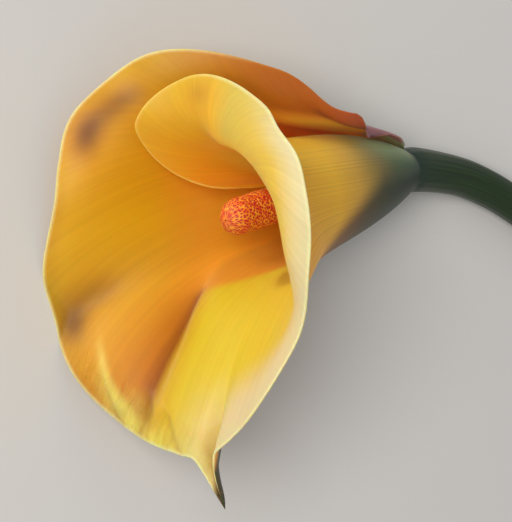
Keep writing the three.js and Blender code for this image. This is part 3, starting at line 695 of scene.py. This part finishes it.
def stalk_skin():
    """Green stalk under a thin wax: a satin skin with faint lengthwise fibres, blue-green by the
    joint, and a pale cut end."""
    material, t = new_material("calla_stalk_skin")
    get = {k: add(t, "Attribute", attribute_name=k).outputs["Fac"]
           for k in ("run", "round", "cut")}
    place = add(t, "CombineXYZ", {"X": get["round"], "Y": get["run"]})
    squeeze = add(t, "Mapping", {"Vector": place,
                                 "Scale": (STALK_DEGREE / FIBRE_GAP, FIBRES_PER_MM, 1.0)})
    fibre = add(t, "TexNoise", {"Vector": squeeze, "Scale": 1.0, "Detail": 4.0})
    skin = add(t, "ValToRGB", {"Fac": fibre}, [
        (0.3, "#12220C"), (0.55, "#1D3414"), (0.75, "#2B4A1C")])
    neck = add(t, "MapRange", {"Value": get["run"], "From Min": 0, "From Max": NECK_GREEN,
                               "To Min": 0.8, "To Max": 0}, interpolation_type="SMOOTHSTEP")
    for mask, tint in ((neck, "#20342C"), (get["cut"], "#B9C29A")):
        skin = add(t, "Mix", {"Factor": mask, "A": skin, "B": linear(tint)}, data_type="RGBA")
    bump = add(t, "Bump", {"Height": fibre, "Strength": 0.3, "Distance": 0.1 * MM})
    shader = add(t, "BsdfPrincipled", {
        "Base Color": skin, "Roughness": 0.38, "IOR": 1.45, "Subsurface Weight": 0.08,
        "Subsurface Radius": (0.4, 0.8, 0.2), "Subsurface Scale": 1.5 * MM, "Normal": bump})
    add(t, "OutputMaterial", {"Surface": shader})
    return material


def floret_skin():
    """Packed florets: matte and dusty, so the column has no highlight. Orange heads of slightly
    different shades, each with a red style, over a cream stalk."""
    material, t = new_material("calla_floret_skin")
    get = {k: add(t, "Attribute", attribute_name=k).outputs["Fac"]
           for k in ("floret", "seed", "grown")}
    heads = add(t, "ValToRGB", {"Fac": get["seed"]}, [
        (0.0, "#E4561C"), (0.5, "#EE8A24"), (1.0, "#F4AC34")])
    # a red style covers the middle of its floret
    style = add(t, "MapRange", {"Value": get["floret"], "From Min": STYLE[0],
                                "From Max": STYLE[1]}, interpolation_type="SMOOTHSTEP")
    heads = add(t, "Mix", {"Factor": style, "A": heads, "B": linear("#B81C2C")},
                data_type="RGBA")
    colour = add(t, "Mix", {"Factor": get["grown"], "A": linear("#D9C37A"), "B": heads},
                 data_type="RGBA")
    shader = add(t, "BsdfPrincipled", {
        "Base Color": colour, "Roughness": 0.62, "IOR": 1.45, "Subsurface Weight": 0.15,
        "Subsurface Radius": (1.0, 0.4, 0.1), "Subsurface Scale": 0.8 * MM})
    add(t, "OutputMaterial", {"Surface": shader})
    return material


def floor_paint():
    """Pale studio board: matte, so it only takes the shadow."""
    material, t = new_material("pale_studio_board")
    shader = add(t, "BsdfPrincipled", {"Base Color": linear("#D9D8D6"), "Roughness": 0.8})
    add(t, "OutputMaterial", {"Surface": shader})
    return material


# ---- the scene ------------------------------------------------------------------------------
points, faces, marks = build_stem()
# the solids are centred on the origin: this is how far the joint was moved for that
solid_lo, solid_hi = (np.array(v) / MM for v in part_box("stem"))
SHIFT = (solid_lo + solid_hi) / 2 - (points.min(0) + points.max(0)) / 2
SHIFT[2] = 0

stem = make_piece("stem_skin", points + SHIFT, faces, "stem", marks)
stem.data.materials.append(stalk_skin())
points, faces, marks = build_spathe()
spathe = make_piece("spathe_blade", points + SHIFT, faces, "spathe", marks)
spathe.data.materials.append(petal_tissue())
points, faces, marks = build_spadix()
spadix = make_piece("spadix_florets", points + SHIFT, faces, "spadix", marks)
spadix.data.materials.append(floret_skin())


def picture_to_row(x, y, z):
    """A point in the picture's frame (mm, from the optical axis, z towards the eye)."""
    joint = np.array([(JOINT_PX[0] - IMAGE_W / 2) * CAMERA_BACK / FOCAL_PX,
                      (IMAGE_H / 2 - JOINT_PX[1]) * CAMERA_BACK / FOCAL_PX, 0])
    return turn(np.array([x, y, z]) - joint) + SHIFT + np.array([0, 0, JOINT_HEIGHT])


camera = bpy.data.objects.new("camera", bpy.data.cameras.new("camera"))
bpy.context.scene.collection.objects.link(camera)
camera.data.sensor_width = SENSOR
camera.data.lens = SENSOR * FOCAL_PX / max(IMAGE_W, IMAGE_H)
camera.data.clip_start, camera.data.clip_end = CLIP
right, up, back = (Vector(turn(v)) for v in ((1, 0, 0), (0, 1, 0), (0, 0, 1)))
pose = Matrix((right, up, back)).transposed().to_4x4()
pose.translation = Vector(picture_to_row(0, 0, CAMERA_BACK) * MM)
camera.matrix_world = pose
bpy.context.scene.camera = camera

# the floor is far wider than the picture, and lies just below the flower's flats (in m)
HALF, DROP = 4.0, 0.1 * MM
floor_mesh = bpy.data.meshes.new("floor")
floor_mesh.from_pydata([(-HALF, -HALF, -DROP), (HALF, -HALF, -DROP), (HALF, HALF, -DROP),
                        (-HALF, HALF, -DROP)], [], [(0, 1, 2, 3)])
floor = bpy.data.objects.new("floor", floor_mesh)
floor.data.materials.append(floor_paint())
bpy.context.scene.collection.objects.link(floor)

# the lights aim at this point of the picture's frame, in the bloom's mouth
LIT = (-25, 10, 40)
# name, direction in the picture's frame, distance and size in m, watts, colour: a small warm key
# from the upper left, and a wide fill from beside the eye
LIGHTS = [("key", (-0.64, 0.72, 0.4), 0.9, 0.12, 3.4, "#FFF6EA"),
          ("fill", (-0.18, 0.08, 0.98), 1.2, 0.6, 8.2, "#FFFAF2")]
for name, direction, distance, size, watts, colour in LIGHTS:
    lamp = bpy.data.lights.new(name, "AREA")
    lamp.shape, lamp.size, lamp.energy = "DISK", size, watts
    lamp.color = linear(colour)[:3]
    obj = bpy.data.objects.new(name, lamp)
    bpy.context.scene.collection.objects.link(obj)
    away = Vector(turn(np.array(direction) / np.linalg.norm(direction)))
    obj.location = Vector(picture_to_row(*LIT) * MM) + away * distance
    obj.rotation_mode = "QUATERNION"
    obj.rotation_quaternion = away.to_track_quat("Z", "Y")

# a pale room all round lifts the shadows
world = bpy.data.worlds.new("studio")
bpy.context.scene.world = world
world.use_nodes = True
room = world.node_tree.nodes["Background"].inputs
room["Color"].default_value, room["Strength"].default_value = linear("#E8E8EA"), 0.5
bpy.context.scene.view_settings.view_transform = "Standard"
bpy.context.scene.cycles.use_denoising = True
